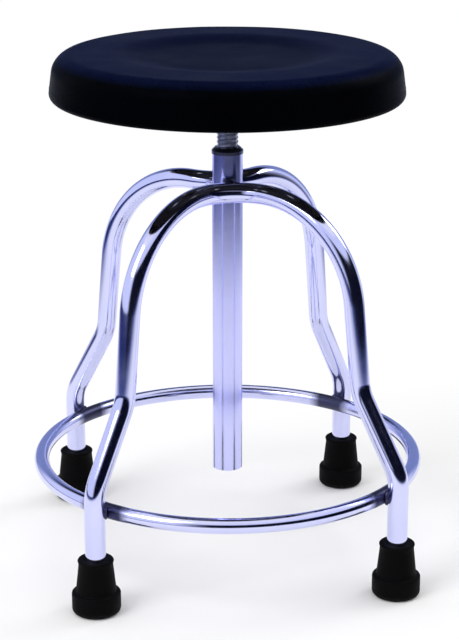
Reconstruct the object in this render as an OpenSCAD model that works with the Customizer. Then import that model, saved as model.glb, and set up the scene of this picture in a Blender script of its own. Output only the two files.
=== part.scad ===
// Revolving screw stool for a treatment room.
// Origin on the floor under the column's axis, +Z up, -Y towards the front hoop. Millimetres.
// The stool is drawn at the seat height that the screw is set to at rest.

/* [Seat] */
// Widest diameter of the moulded seat pad
seat_d = 330; // [260:1:420]
// Thickness of the seat pad
seat_t = 42; // [36:1:70]
// Width lost by the pad's side between its widest ring and its shoulder
seat_side_draft = 2.4; // [0:0.1:8]
// Radius of the pad's upper shoulder
seat_shoulder_r = 19; // [8:1:20]
// Radius of the pad's lower edge
seat_edge_r = 6; // [3:0.5:10]
// Diameter of the sitting hollow at its rim
dish_d = 214; // [120:1:240]
// Diameter of the sitting hollow's flat floor
dish_floor_d = 136; // [60:1:150]
// Depth of the sitting hollow
dish_depth = 4.5; // [1:0.5:9]

/* [Seat board] */
// Diameter of the plywood board in the pad's underside
board_d = 276; // [200:1:300]
// Thickness of the board
board_t = 15; // [9:1:24]
// Clearance between the board's edge and the pad
board_fit = 0.3; // [0.1:0.1:1]

/* [Seat plate] */
// Diameter of the steel plate under the board
plate_d = 170; // [150:1:220]
// Thickness of the plate
plate_t = 3; // [2:0.5:6]
// Circle that the plate's screws stand on
screw_circle_d = 130; // [110:1:140]
// Number of plate screws
screw_count = 4; // [3:1:8]
// Shank diameter of a plate screw
screw_d = 6; // [4:0.5:8]
// Length of a plate screw's shank
screw_l = 14; // [10:1:22]
// Width across the flats of a screw's hexagon head
screw_head_af = 10; // [8:0.5:14]
// Height of a screw's hexagon head
screw_head_h = 4; // [2.5:0.5:6]
// Outer diameter of the washer under a screw's head
screw_washer_d = 14; // [11:0.5:20]
// Thickness of the washer under a screw's head
screw_washer_t = 1.4; // [0.8:0.2:2.4]
// Clearance around a screw's shank in the plate and the washer
screw_fit = 0.4; // [0.2:0.1:0.8]
// Outer diameter of a threaded insert's barrel
insert_d = 8.4; // [7:0.2:12]
// Height of a threaded insert's barrel
insert_l = 11; // [7:0.5:12]
// Diameter of a threaded insert's flange
insert_flange_d = 20; // [14:1:26]
// Thickness of a threaded insert's flange
insert_flange_t = 1.5; // [1:0.1:3]

/* [Hub] */
// Outer diameter of the hub under the plate
hub_d = 38; // [30:1:60]
// Height of the hub below the plate
hub_h = 18; // [8:1:18]
// Chamfer on the hub's lower edge
hub_chamfer = 3; // [0.5:0.5:5]
// Throat of the weld between the hub and the plate
hub_weld = 5; // [2:0.5:8]

/* [Screw] */
// Outer diameter of the spindle's thread
spindle_d = 20; // [16:0.5:22]
// Rise of the seat in one turn of the spindle
screw_lead = 8; // [4:1:12]
// Length of the spindle between the column's collar and the hub at rest
screw_showing = 26; // [25:1:90]
// Turns that the seat can be screwed down from rest
turns_down = 3; // [1:1:3]
// Turns that the seat can be screwed up from rest
turns_up = 22; // [5:1:23]
// Length of thread in the nut
nut_l = 42; // [24:1:60]
// Radial clearance between the spindle and the nut
thread_fit = 0.08; // [0.05:0.01:0.2]
// Diameter of the journal at the spindle's lower end
journal_d = 12; // [8:0.5:14]
// Height of the guide bush
bush_h = 22; // [12:1:30]
// Radial clearance of the guide bush in the column and on its journal
bush_fit = 0.1; // [0.05:0.01:0.3]
// End play of the guide bush on its journal
bush_play = 0.3; // [0.2:0.1:0.6]
// Thickness of the stop washer above the guide bush
stop_washer_t = 2.5; // [1.5:0.5:4]
// Radial gap between the stop washer and the column's bore
stop_washer_gap = 1.2; // [0.8:0.1:2]
// Clearance left between the stop washer and the nut at the seat's highest
top_clearance = 2; // [0.5:0.5:6]
// Shank diameter of the screw that holds the guide bush
end_screw_d = 6; // [4:1:7]
// Length of the end screw's shank
end_screw_l = 18; // [10:1:30]
// Thickness of the washer under the end screw's head
end_washer_t = 2; // [1:0.5:4]

/* [Column] */
// Outer diameter of the column tube
column_d = 28.6; // [26:0.1:34]
// Wall of the column tube
column_wall = 1.5; // [1.2:0.1:2]
// Height of the column tube's open lower end
column_bottom_z = 81; // [50:1:110]
// Height of the column tube's upper end above the tubes that cross it
column_above_hoops = 32.5; // [20:0.5:40]
// Diameter of the nut's collar on top of the column
collar_d = 29.8; // [28.6:0.1:36]
// Height of the nut's collar
collar_h = 6; // [3:0.5:10]
// Chamfer around the collar's top
collar_chamfer = 3; // [0.5:0.5:4]
// Radial clearance of the nut in the column before it is fixed
nut_fit = 0.05; // [0.02:0.01:0.2]
// Diameter of the pins that fix the nut in the column
pin_d = 4; // [3:0.5:6]
// Height of the pins above the nut's lower end
pin_height = 6; // [4:1:10]
// Steel left between a pin's inner end and the nut's bore
pin_web = 1; // [0.5:0.1:1.5]

/* [Legs] */
// Outer diameter of the bent tubes
leg_tube_d = 19.05; // [16:0.05:24]
// Wall of the bent tubes
leg_wall = 1.5; // [1:0.1:2]
// Height of the tubes' centre line where they cross the column
hoop_z = 361.5; // [350:0.5:372]
// Radius of the bend that takes a hoop past the column
crown_bend_r = 42; // [30:1:56]
// Straight run between the bend around the column and each leg's large bend
crown_run = 1.5; // [1:0.5:6]
// Radius of the large bend at the top of each leg
shoulder_bend_r = 100; // [90:0.5:102]
// Outward lean of the upper leg, from vertical
lean_angle = 6; // [0:0.5:10]
// Height where the upper leg's line meets the splayed stretch's line
splay_top_z = 190; // [170:1:210]
// Height above the foot ring's centre line where the splayed stretch's line meets the foot's
splay_above_ring = 22.36; // [22:0.02:30]
// Radius of the two small bends in each leg
splay_bend_r = 45; // [30:1:55]
// How much the tube swells where it is bent, on its radius
bend_swell = 0.05; // [0.05:0.01:0.2]

/* [Foot ring] */
// Radius of the foot ring's centre line
ring_r = 181; // [176:0.5:190]
// Diameter of the round bar that the foot ring is made of
ring_bar_d = 14.3; // [10:0.1:16]
// Height of the foot ring's centre line
ring_z = 94.2; // [75:0.2:97]

/* [Welds] */
// Radius of a weld between a hoop and the column
hoop_weld_r = 7.5; // [4:0.5:9]
// Radius of a weld between the foot ring and a leg
ring_weld_r = 5.6; // [3:0.2:6]
// Depth that a weld runs into the metal it joins
weld_root = 0.8; // [0.4:0.1:1]
// Gap left between two tubes where a weld joins them
weld_gap = 0.1; // [0.05:0.05:0.3]

/* [Feet] */
// Diameter of a rubber foot's base
foot_base_d = 45; // [40:0.5:60]
// Height of a rubber foot's base
foot_base_h = 20.5; // [12:0.5:24]
// Radius of the base's lower edge
foot_edge_r = 5; // [1:0.5:6]
// Chamfer around the base's top
base_chamfer = 1.2; // [0.4:0.2:2]
// Diameter of the foot's sleeve where it meets the base
sleeve_base_d = 37; // [33:0.5:39]
// Diameter of the foot's sleeve at its mouth
sleeve_top_d = 32; // [26:0.5:36]
// Radius that rounds the sleeve's mouth
sleeve_lip_r = 1.6; // [0.5:0.1:2]
// Height of a whole rubber foot
foot_h = 52; // [38:0.5:60]
// Thickness of rubber under the tube's end
foot_floor = 7; // [5:0.5:12]
// Radial clearance between a tube and its rubber foot
foot_fit = 0.05; // [0.02:0.01:0.2]
// Thickness of the steel washer in a rubber foot
foot_washer_t = 2; // [1:0.5:3]

/* [Hidden] */
$fn = 96;

// A hair's breadth that keeps cutting shapes clear of the faces they cut through
cut = 0.5;
chrome_color = [0.74, 0.76, 0.84];
steel_color = [0.5, 0.52, 0.56];
zinc_color = [0.66, 0.66, 0.62];
rubber_color = [0.03, 0.03, 0.035];
pad_color = [0.04, 0.045, 0.08];
board_color = [0.07, 0.06, 0.055];

// Rings of the wave in the hollow's wall
dish_steps = 8;

// Centres of the pad's rounded edges, and the direction that its side faces between them
edge_centre = [seat_d / 2 - seat_edge_r, seat_edge_r];
shoulder_centre = [
    seat_d / 2 - seat_side_draft - seat_shoulder_r,
    seat_t - seat_shoulder_r
];
side_run = shoulder_centre - edge_centre;
side_normal = atan2(side_run[1], side_run[0])
    - acos((seat_edge_r - seat_shoulder_r) / norm(side_run));

// The nut hangs in the column from its collar
column_top_z = hoop_z + column_above_hoops;
collar_top_z = column_top_z + collar_h;
nut_bottom_z = column_top_z - nut_l;

// Heights of the seat, which stands on the screw, from its hub up to its board
hub_bottom_z = collar_top_z + screw_showing;
plate_z = hub_bottom_z + hub_h;
seat_bottom_z = plate_z + plate_t;
board_top_z = seat_bottom_z + board_t;

// Radii of the bores and tubes that other pieces run in
column_bore_r = column_d / 2 - column_wall;
leg_r = leg_tube_d / 2;
leg_bore_r = leg_r - leg_wall;

// Distance from the axis to the pins' inner ends
pin_root = spindle_d / 2 + thread_fit + pin_web;

// The journal's shoulder stops under the nut when the seat is at its highest
rise = turns_up * screw_lead;
stop_top_z = nut_bottom_z - rise - top_clearance;
journal_top_z = stop_top_z - stop_washer_t;
journal_l = bush_h + bush_play;
journal_bottom_z = journal_top_z - journal_l;
end_washer_z = journal_bottom_z - end_washer_t;
end_head_h = end_screw_d * 0.7;

// Where the legs stand: outside the foot ring, a quarter turn apart
leg_out = ring_r + ring_bar_d / 2 + weld_gap + leg_r;
leg_side = leg_out / sqrt(2);

// Bend of a hoop past the column, and the upright plane of each leg, which leaves that bend
// without a kink and stands over the leg's foot
hoop_touch = column_d / 2 + weld_gap + leg_r + bend_swell;
crown_centre_y = hoop_touch + crown_bend_r;
foot_from_crown = [leg_side, leg_side - crown_centre_y];
plane_turn = atan2(foot_from_crown[0], foot_from_crown[1])
    - asin(crown_bend_r / norm(foot_from_crown));
leg_reach = sqrt(pow(norm(foot_from_crown), 2) - pow(crown_bend_r, 2));

// Line of one leg in its plane, as distance from the end of the crown's bend, and height
shoulder_out = crown_run + shoulder_bend_r * cos(lean_angle);
shoulder_z = hoop_z - shoulder_bend_r * (1 - sin(lean_angle));
splay_top_out = shoulder_out + (shoulder_z - splay_top_z) * tan(lean_angle);
splay_bottom_z = ring_z + splay_above_ring;
splay_angle = atan2(leg_reach - splay_top_out, splay_top_z - splay_bottom_z);
upper_tangent = splay_bend_r * tan((splay_angle - lean_angle) / 2);
lower_tangent = splay_bend_r * tan(splay_angle / 2);
leg_end_z = foot_floor + foot_washer_t;

// How far a straight stretch runs on into the bends at its ends
bend_lap = 0.5;

// Turns of the four legs about the axis, from the front
leg_angles = [-45, 45, 135, -135];

// Screws of the seat plate
screw_angles = [for (i = [0:screw_count - 1]) 45 + i * 360 / screw_count];
screw_head_z = plate_z - screw_washer_t - screw_head_h;

module turned(points) {
    rotate_extrude() polygon(points);
}

module ring(outer_r, inner_r, z, h) {
    translate([0, 0, z]) difference() {
        cylinder(r = outer_r, h = h);
        translate([0, 0, -cut]) cylinder(r = inner_r, h = h + 2 * cut);
    }
}

module hexagon(across_flats, z, h) {
    translate([0, 0, z]) cylinder(d = across_flats / cos(30), h = h, $fn = 6);
}

// Puts its children at each screw of the seat plate
module at_screws() {
    for (a = screw_angles) rotate([0, 0, a]) translate([screw_circle_d / 2, 0, 0]) children();
}

// Puts its children under one leg, with the leg's turn about the axis given
module at_leg(turn) {
    rotate([0, 0, turn]) translate([0, -leg_out, 0]) children();
}

// Outline of the pad from its axis outwards: its side is tangent to both rounded edges
module pad_outline() {
    side_out = [cos(side_normal), sin(side_normal)];
    difference() {
        union() {
            polygon([
                [0, 0],
                [edge_centre[0], 0],
                edge_centre,
                edge_centre + seat_edge_r * side_out,
                shoulder_centre + seat_shoulder_r * side_out,
                shoulder_centre,
                [shoulder_centre[0], seat_t],
                [0, seat_t]
            ]);
            translate(edge_centre) circle(seat_edge_r);
            translate(shoulder_centre) circle(seat_shoulder_r);
        }
        dish_outline();
        translate([0, -cut]) square([board_d / 2 + board_fit, board_t + cut]);
    }
}

// Cross-section of the sitting hollow: its wall falls in a smooth wave to a flat floor
module dish_outline() {
    wall_w = (dish_d - dish_floor_d) / 2;
    wall = [for (i = [0:dish_steps]) [
        dish_d / 2 - wall_w * i / dish_steps,
        seat_t - dish_depth * (1 - cos(180 * i / dish_steps)) / 2
    ]];
    polygon(concat(
        [[0, seat_t + cut], [dish_d / 2, seat_t + cut]],
        wall,
        [[0, seat_t - dish_depth]]
    ));
}

// One-piece polyurethane foam pad with a tough moulded skin
module seat_pad() {
    color(pad_color) translate([0, 0, seat_bottom_z]) rotate_extrude($fn = 180) pad_outline();
}

// Black-stained plywood board that the foam is moulded over
module seat_board() {
    color(board_color) difference() {
        translate([0, 0, seat_bottom_z]) cylinder(d = board_d, h = board_t, $fn = 180);
        at_screws() {
            translate([0, 0, seat_bottom_z - cut])
                cylinder(d = insert_d, h = board_t + 2 * cut);
            translate([0, 0, board_top_z - insert_flange_t])
                cylinder(d = insert_flange_d, h = insert_flange_t + cut);
        }
    }
}

// Threaded steel inserts let into the board from above
module seat_inserts() {
    color(zinc_color) at_screws() difference() {
        union() {
            translate([0, 0, board_top_z - insert_flange_t])
                cylinder(d = insert_flange_d, h = insert_flange_t);
            translate([0, 0, board_top_z - insert_l]) cylinder(d = insert_d, h = insert_l);
        }
        translate([0, 0, board_top_z - insert_l - cut])
            cylinder(d = screw_d, h = insert_l + 2 * cut);
    }
}

// Round pressed plate that carries the seat
module seat_plate() {
    color(steel_color) difference() {
        translate([0, 0, plate_z]) cylinder(d = plate_d, h = plate_t);
        translate([0, 0, plate_z - cut]) cylinder(d = spindle_d, h = plate_t + 2 * cut);
        at_screws() translate([0, 0, plate_z - cut])
            cylinder(d = screw_d + 2 * screw_fit, h = plate_t + 2 * cut);
    }
}

// Hexagon screws up through the plate into the inserts
module plate_screws() {
    color(zinc_color) at_screws() {
        hexagon(screw_head_af, screw_head_z, screw_head_h);
        translate([0, 0, plate_z - screw_washer_t]) cylinder(d = screw_d, h = screw_l);
    }
}

// Flat washers between the screw heads and the plate
module screw_washers() {
    color(zinc_color) at_screws()
        ring(screw_washer_d / 2, screw_d / 2 + screw_fit, plate_z - screw_washer_t, screw_washer_t);
}

// Turned boss welded under the plate, around the spindle's upper end
module plate_hub() {
    color(steel_color) difference() {
        union() {
            translate([0, 0, hub_bottom_z + hub_chamfer])
                cylinder(d = hub_d, h = hub_h - hub_chamfer);
            translate([0, 0, hub_bottom_z])
                cylinder(d1 = hub_d - 2 * hub_chamfer, d2 = hub_d, h = hub_chamfer);
        }
        translate([0, 0, hub_bottom_z - cut]) cylinder(d = spindle_d, h = hub_h + 2 * cut);
    }
}

// Fillet weld in the corner between the hub and the plate
module hub_weld_ring() {
    color(steel_color) translate([0, 0, plate_z]) turned([
        [hub_d / 2, 0],
        [hub_d / 2, -hub_weld],
        [hub_d / 2 + hub_weld, 0]
    ]);
}

// Screw spindle: thread along its length and a turned-down journal at its foot
module spindle() {
    color(chrome_color) difference() {
        union() {
            translate([0, 0, stop_top_z])
                cylinder(d = spindle_d, h = seat_bottom_z - stop_top_z);
            translate([0, 0, journal_bottom_z])
                cylinder(d = journal_d, h = stop_top_z - journal_bottom_z);
        }
        translate([0, 0, journal_bottom_z - cut])
            cylinder(d = end_screw_d, h = end_screw_l - end_washer_t + cut);
    }
}

// Steel washer that meets the nut and stops the seat at its highest
module stop_washer() {
    color(zinc_color)
        ring(column_bore_r - stop_washer_gap, journal_d / 2, journal_top_z, stop_washer_t);
}

// Nylon bush that guides the spindle's foot in the column's bore
module guide_bush() {
    color("ivory") ring(
        column_bore_r - bush_fit,
        journal_d / 2 + bush_fit,
        journal_bottom_z + bush_play / 2,
        bush_h
    );
}

// Washer that keeps the bush on its journal
module end_washer() {
    color(zinc_color)
        ring(column_bore_r - stop_washer_gap, end_screw_d / 2, end_washer_z, end_washer_t);
}

// Screw in the spindle's lower end
module end_screw() {
    color(zinc_color) {
        hexagon(end_screw_d * 1.7, end_washer_z - end_head_h, end_head_h);
        translate([0, 0, end_washer_z]) cylinder(d = end_screw_d, h = end_screw_l);
    }
}

// Steel nut let into the column, with a chamfered collar on the tube's end
module spindle_nut() {
    collar_r = collar_d / 2;
    color(steel_color) difference() {
        union() {
            translate([0, 0, nut_bottom_z]) cylinder(r = column_bore_r - nut_fit, h = nut_l);
            turned([
                [0, column_top_z],
                [collar_r, column_top_z],
                [collar_r, collar_top_z - collar_chamfer],
                [collar_r - collar_chamfer, collar_top_z],
                [0, collar_top_z]
            ]);
        }
        translate([0, 0, nut_bottom_z - cut])
            cylinder(r = spindle_d / 2 + thread_fit, h = nut_l + collar_h + 2 * cut);
        nut_pin_bars(pin_d + 2 * nut_fit, cut);
    }
}

// Two short bars on the column's left and right that go through its wall into the nut's
module nut_pin_bars(d, extra) {
    pin_l = column_d / 2 - pin_root;
    for (side = [0, 180]) rotate([0, 0, side])
        translate([pin_root, 0, nut_bottom_z + pin_height]) rotate([0, 90, 0])
            cylinder(d = d, h = pin_l + extra);
}

// Pins that stop the nut turning or lifting, dressed flush with the tube
module nut_pins() {
    color(steel_color) intersection() {
        nut_pin_bars(pin_d, 0);
        translate([0, 0, nut_bottom_z]) cylinder(d = column_d, h = nut_l);
    }
}

// Upright tube, open at its lower end
module column() {
    color(chrome_color) difference() {
        translate([0, 0, column_bottom_z])
            cylinder(d = column_d, h = column_top_z - column_bottom_z);
        translate([0, 0, column_bottom_z - cut])
            cylinder(r = column_bore_r, h = column_top_z - column_bottom_z + 2 * cut);
        nut_pin_bars(pin_d + 2 * nut_fit, cut);
    }
}

// Bend of a hoop in front of the column, for a bar of the radius given
module hoop_crown(r) {
    translate([0, -crown_centre_y, hoop_z]) rotate([0, 0, plane_turn])
        rotate_extrude(angle = 180 - 2 * plane_turn)
            translate([crown_bend_r, 0]) circle(r + bend_swell);
}

// Straight stretch in a leg's plane, from a point given by distance and height
module leg_bar(r, out, z, tilt, l) {
    translate([0, -out, z]) rotate([180 - tilt, 0, 0]) translate([0, 0, -bend_lap])
        cylinder(r = r, h = l + 2 * bend_lap);
}

// Bend in a leg's plane: centre by distance and height, first angle of its arc, and sweep
module leg_bend(r, bend_r, out, z, from, sweep) {
    translate([0, -out, z]) rotate([90, 0, -90]) rotate([0, 0, from])
        rotate_extrude(angle = sweep) translate([bend_r, 0]) rotate(-90) circle(r + bend_swell);
}

// Line of a leg for a bar of the radius given, from the crown down to its end in the foot
module leg(r, end_z) {
    lean_l = (shoulder_z - splay_top_z) / cos(lean_angle) - upper_tangent;
    splay_l = (leg_reach - splay_top_out) / sin(splay_angle) - upper_tangent - lower_tangent;
    upper_out = splay_top_out - upper_tangent * sin(lean_angle);
    upper_z = splay_top_z + upper_tangent * cos(lean_angle);
    splay_out = splay_top_out + upper_tangent * sin(splay_angle);
    splay_z = splay_top_z - upper_tangent * cos(splay_angle);
    lower_z = splay_bottom_z - lower_tangent;
    leg_bar(r, 0, hoop_z, 90, crown_run);
    leg_bend(
        r, shoulder_bend_r, crown_run, hoop_z - shoulder_bend_r,
        lean_angle, 90 - lean_angle
    );
    leg_bar(r, shoulder_out, shoulder_z, lean_angle, lean_l);
    leg_bend(
        r, splay_bend_r,
        upper_out + splay_bend_r * cos(lean_angle), upper_z + splay_bend_r * sin(lean_angle),
        180 + lean_angle, splay_angle - lean_angle
    );
    leg_bar(r, splay_out, splay_z, splay_angle, splay_l);
    leg_bend(r, splay_bend_r, leg_reach - splay_bend_r, lower_z, 0, splay_angle);
    leg_bar(r, leg_reach, lower_z, 0, lower_z - end_z - bend_lap);
}

// One leg of a hoop, in its plane
module placed_leg(r, end_z) {
    translate([0, -crown_centre_y, 0]) rotate([0, 0, plane_turn])
        translate([crown_bend_r, 0, 0]) leg(r, end_z);
}

// A whole hoop, for a bar of the radius given: both legs and the crown between them
module hoop_bar(r, end_z) {
    hoop_crown(r);
    placed_leg(r, end_z);
    mirror([1, 0, 0]) placed_leg(r, end_z);
}

// One continuous bent tube
module hoop() {
    difference() {
        hoop_bar(leg_r, leg_end_z);
        hoop_bar(leg_bore_r, leg_end_z - cut);
    }
}

// Tube that makes the two front legs and passes in front of the column
module front_hoop() {
    color(chrome_color) hoop();
}

// Tube that makes the two rear legs and passes behind the column
module rear_hoop() {
    color(chrome_color) rotate([0, 0, 180]) hoop();
}

// Weld metal where each hoop touches the column
module hoop_welds() {
    reach = hoop_weld_r * hoop_weld_r / leg_tube_d + weld_root;
    color(steel_color) for (side = [0, 180]) rotate([0, 0, side]) difference() {
        translate([0, -column_d / 2 - reach, hoop_z]) rotate([-90, 0, 0])
            cylinder(r = hoop_weld_r, h = 2 * reach);
        translate([0, 0, hoop_z - hoop_weld_r - cut])
            cylinder(r = column_bore_r, h = 2 * (hoop_weld_r + cut));
        hoop_crown(leg_bore_r);
    }
}

// Round bar rolled into a ring inside the four legs
module foot_ring() {
    color(chrome_color) translate([0, 0, ring_z]) rotate_extrude($fn = 180)
        translate([ring_r, 0]) circle(d = ring_bar_d);
}

// Weld metal where the foot ring touches each leg
module ring_welds() {
    reach = ring_weld_r * ring_weld_r / ring_bar_d + weld_root;
    color(steel_color) for (turn = leg_angles) at_leg(turn) difference() {
        translate([0, leg_r - reach, ring_z]) rotate([-90, 0, 0])
            cylinder(r = ring_weld_r, h = 2 * reach);
        translate([0, 0, ring_z - ring_weld_r - cut])
            cylinder(r = leg_bore_r, h = 2 * (ring_weld_r + cut));
    }
}

// Moulded rubber ferrule pushed over a leg's end
module rubber_foot() {
    mouth_r = sleeve_top_d / 2;
    base_r = foot_base_d / 2;
    difference() {
        rotate_extrude() union() {
            polygon([
                [0, 0],
                [base_r - foot_edge_r, 0],
                [base_r - foot_edge_r, foot_edge_r],
                [base_r, foot_edge_r],
                [base_r, foot_base_h - base_chamfer],
                [base_r - base_chamfer, foot_base_h],
                [sleeve_base_d / 2, foot_base_h],
                [mouth_r, foot_h - sleeve_lip_r],
                [mouth_r - sleeve_lip_r, foot_h - sleeve_lip_r],
                [mouth_r - sleeve_lip_r, foot_h],
                [0, foot_h]
            ]);
            translate([base_r - foot_edge_r, foot_edge_r]) circle(foot_edge_r);
            translate([mouth_r - sleeve_lip_r, foot_h - sleeve_lip_r]) circle(sleeve_lip_r);
        }
        translate([0, 0, foot_floor]) cylinder(r = leg_r + foot_fit, h = foot_h);
    }
}

module foot_front_left() {
    color(rubber_color) at_leg(leg_angles[0]) rubber_foot();
}

module foot_front_right() {
    color(rubber_color) at_leg(leg_angles[1]) rubber_foot();
}

module foot_rear_right() {
    color(rubber_color) at_leg(leg_angles[2]) rubber_foot();
}

module foot_rear_left() {
    color(rubber_color) at_leg(leg_angles[3]) rubber_foot();
}

// Steel discs that keep the tubes from cutting through the rubber
module foot_washers() {
    color(zinc_color) for (turn = leg_angles) at_leg(turn)
        translate([0, 0, foot_floor]) cylinder(r = leg_r, h = foot_washer_t);
}

seat_pad();
seat_board();
seat_inserts();
seat_plate();
plate_screws();
screw_washers();
plate_hub();
hub_weld_ring();
spindle();
stop_washer();
guide_bush();
end_washer();
end_screw();
spindle_nut();
nut_pins();
column();
front_hoop();
rear_hoop();
hoop_welds();
foot_ring();
ring_welds();
foot_front_left();
foot_front_right();
foot_rear_left();
foot_rear_right();
foot_washers();
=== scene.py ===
from math import asin, atan2, cos, hypot, pi, radians, sin, sqrt, tan

import bmesh
import bpy
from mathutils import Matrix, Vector, noise


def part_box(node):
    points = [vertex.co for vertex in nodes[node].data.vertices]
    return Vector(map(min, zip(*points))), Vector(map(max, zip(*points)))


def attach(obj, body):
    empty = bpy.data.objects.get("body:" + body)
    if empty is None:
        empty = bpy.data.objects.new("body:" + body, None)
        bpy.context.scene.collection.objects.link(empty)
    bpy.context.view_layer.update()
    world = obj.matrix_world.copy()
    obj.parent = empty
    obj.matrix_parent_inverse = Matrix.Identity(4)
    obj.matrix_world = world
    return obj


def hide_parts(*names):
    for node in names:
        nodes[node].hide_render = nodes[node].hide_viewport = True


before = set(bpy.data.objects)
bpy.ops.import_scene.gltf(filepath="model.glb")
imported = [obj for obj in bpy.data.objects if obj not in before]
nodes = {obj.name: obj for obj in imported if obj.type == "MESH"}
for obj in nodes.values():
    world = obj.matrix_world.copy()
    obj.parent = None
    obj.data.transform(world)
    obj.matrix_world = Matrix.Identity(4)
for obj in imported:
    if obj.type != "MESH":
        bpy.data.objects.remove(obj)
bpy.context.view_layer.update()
scene = bpy.context.scene


# Seat pad. One moulding of polyurethane foam with a tough black skin, poured over the plywood
# board, which its rim wraps. Its top has a shallow sitting hollow, its side a fine parting line
# where the two halves of the mould met.
PAD_LOW, PAD_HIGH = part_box("seat_pad")
PAD_R = PAD_HIGH.x
PAD_T = PAD_HIGH.z - PAD_LOW.z
PAD_SIDE_DRAFT = 0.0024
PAD_SHOULDER_R = 0.019
PAD_EDGE_R = 0.006
HOLLOW_RIM_R = 0.107
HOLLOW_FLOOR_R = 0.068
HOLLOW_DEPTH = 0.0045
PARTING_HEIGHT = 0.0105
PARTING_PROUD = 0.0002
PARTING_WIDTH = 0.0009
BOARD_PLAY = 0.0003
POCKET_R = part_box("seat_board")[1].x + BOARD_PLAY
POCKET_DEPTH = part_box("seat_board")[1].z - PAD_LOW.z
POCKET_CHAMFER = 0.0006
PAD_STEPS = 240
ON_AXIS = 1e-7
SKIN_WAVE = 0.00018
SKIN_WAVE_LENGTH = 0.045
STIFF_EDGE = 0.004
SKIN_GRAIN = 0.0011
SKIN_GRAIN_DEPTH = 0.0002
# The skin's own black, and a painted navy sheen for the faces that look up, which fades in over this
# range of tilt.
SKIN_BLACK = [(0.0005, 0.0007, 0.0008, 1), (0.0009, 0.0012, 0.0016, 1)]
PAINTED_SHEEN_SKIN = [(0.0012, 0.003, 0.017, 1), (0.0024, 0.0046, 0.027, 1)]
PAINTED_SHEEN_TILT = (0.62, 0.88)
# Painted shade on the hollow's floor, which dims the painted sheen there.
HOLLOW_SHADE_SKIN = (0.0008, 0.0014, 0.006, 1)
HOLLOW_SHADE_REACH = (0.9 * HOLLOW_FLOOR_R, HOLLOW_RIM_R)
HOLLOW_SHADE_SHARE = 0.55
# Painted shade in the pits between the grain's pebbles.
PEBBLE_PIT_SHADE = (0.0003, 0.0004, 0.0012, 1)
PEBBLE_EDGE = (0.55, 0.95)
PEBBLE_SHADE = 0.55
LINT = (0.12, 0.13, 0.16, 1)


def arc(centre, radius, start, end, steps):
    """Points of a round stretch of an outline, as (radius, height)."""
    turns = [start + (end - start) * i / steps for i in range(steps + 1)]
    return [(centre[0] + radius * cos(a), centre[1] + radius * sin(a)) for a in turns]


def lathe(name, outline, steps, base=(0, 0, 0), closed=True):
    """A solid turned from an outline that runs outwards, up and back, or an open sheet."""
    mesh = bpy.data.meshes.new(name)
    shape = bmesh.new()
    rings = []
    for r, z in outline:
        if r < ON_AXIS:
            rings.append([shape.verts.new((0, 0, z))] * steps)
        else:
            turns = [2 * pi * i / steps for i in range(steps)]
            rings.append([shape.verts.new((r * cos(a), r * sin(a), z)) for a in turns])
    if closed and outline[0][0] > ON_AXIS:
        rings.append(rings[0])
    for lower, upper in zip(rings, rings[1:]):
        for i in range(steps):
            j = (i + 1) % steps
            corners = [lower[i], lower[j], upper[j], upper[i]]
            shape.faces.new(dict.fromkeys(corners))
    bmesh.ops.translate(shape, verts=shape.verts, vec=base)
    shape.to_mesh(mesh)
    shape.free()
    piece = bpy.data.objects.new(name, mesh)
    scene.collection.objects.link(piece)
    return piece


def smooth(piece, sharp_from=30):
    """Shades a piece smooth, apart from its corners."""
    piece.data.shade_smooth()
    piece.data.set_sharp_from_angle(angle=radians(sharp_from))
    return piece


def fit(piece, body, slot, *replaced):
    """Puts a piece on its CAD body and hides the CAD nodes it replaces; its slot is not used."""
    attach(piece, body)
    if replaced:
        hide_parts(*replaced)
    return piece


def add_node(tree, kind, inputs=None, **settings):
    """A node with its settings and its inputs, by name or number: a value, or a socket to link."""
    node = tree.nodes.new(kind)
    for name, value in settings.items():
        setattr(node, name, value)
    for name, value in (inputs or {}).items():
        if isinstance(value, bpy.types.NodeSocket):
            tree.links.new(value, node.inputs[name])
        else:
            node.inputs[name].default_value = value
    return node


def new_group(name, kind, inputs, outputs):
    """A node group with named sockets, given as (name, type, value), and its two end nodes."""
    tree = bpy.data.node_groups.new(name, kind)
    for socket_name, socket_type, value in inputs:
        socket = tree.interface.new_socket(socket_name, in_out="INPUT", socket_type=socket_type)
        if value is not None:
            socket.default_value = value
    for socket_name, socket_type in outputs:
        tree.interface.new_socket(socket_name, in_out="OUTPUT", socket_type=socket_type)
    return tree, tree.nodes.new("NodeGroupInput"), tree.nodes.new("NodeGroupOutput")


def math_node(tree, operation, *values):
    """The output of a math node."""
    return add_node(tree, "ShaderNodeMath", dict(enumerate(values)), operation=operation).outputs[0]


def vector_node(tree, operation, *values, output="Vector"):
    """The output of a vector math node. It is its Value where the sum gives a number."""
    node = add_node(tree, "ShaderNodeVectorMath", dict(enumerate(values)), operation=operation)
    return node.outputs[output]


def along_z(tree, vector):
    """The upright part of a vector."""
    return add_node(tree, "ShaderNodeSeparateXYZ", {0: vector}).outputs["Z"]


def facing_up(tree):
    """How far a surface faces up, from -1 to 1."""
    return along_z(tree, add_node(tree, "ShaderNodeNewGeometry").outputs["Normal"])


def on_plan(tree, place):
    """A place with its height taken out."""
    return vector_node(tree, "MULTIPLY", place, (1, 1, 0))


def from_axis(tree, place):
    """Distance from the stool's upright axis."""
    return vector_node(tree, "LENGTH", on_plan(tree, place), output="Value")


def blend_color(tree, factor, first, second):
    """The output of a mix of two colours."""
    mix = add_node(tree, "ShaderNodeMix", {0: factor, 6: first, 7: second}, data_type="RGBA")
    return mix.outputs[2]


def stretch(tree, value, low, high, to_low=0.0, to_high=1.0):
    """The output of a range that is mapped to another and held at its ends."""
    inputs = {"Value": value, "From Min": low, "From Max": high, "To Min": to_low, "To Max": to_high}
    return add_node(tree, "ShaderNodeMapRange", inputs).outputs["Result"]


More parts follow.
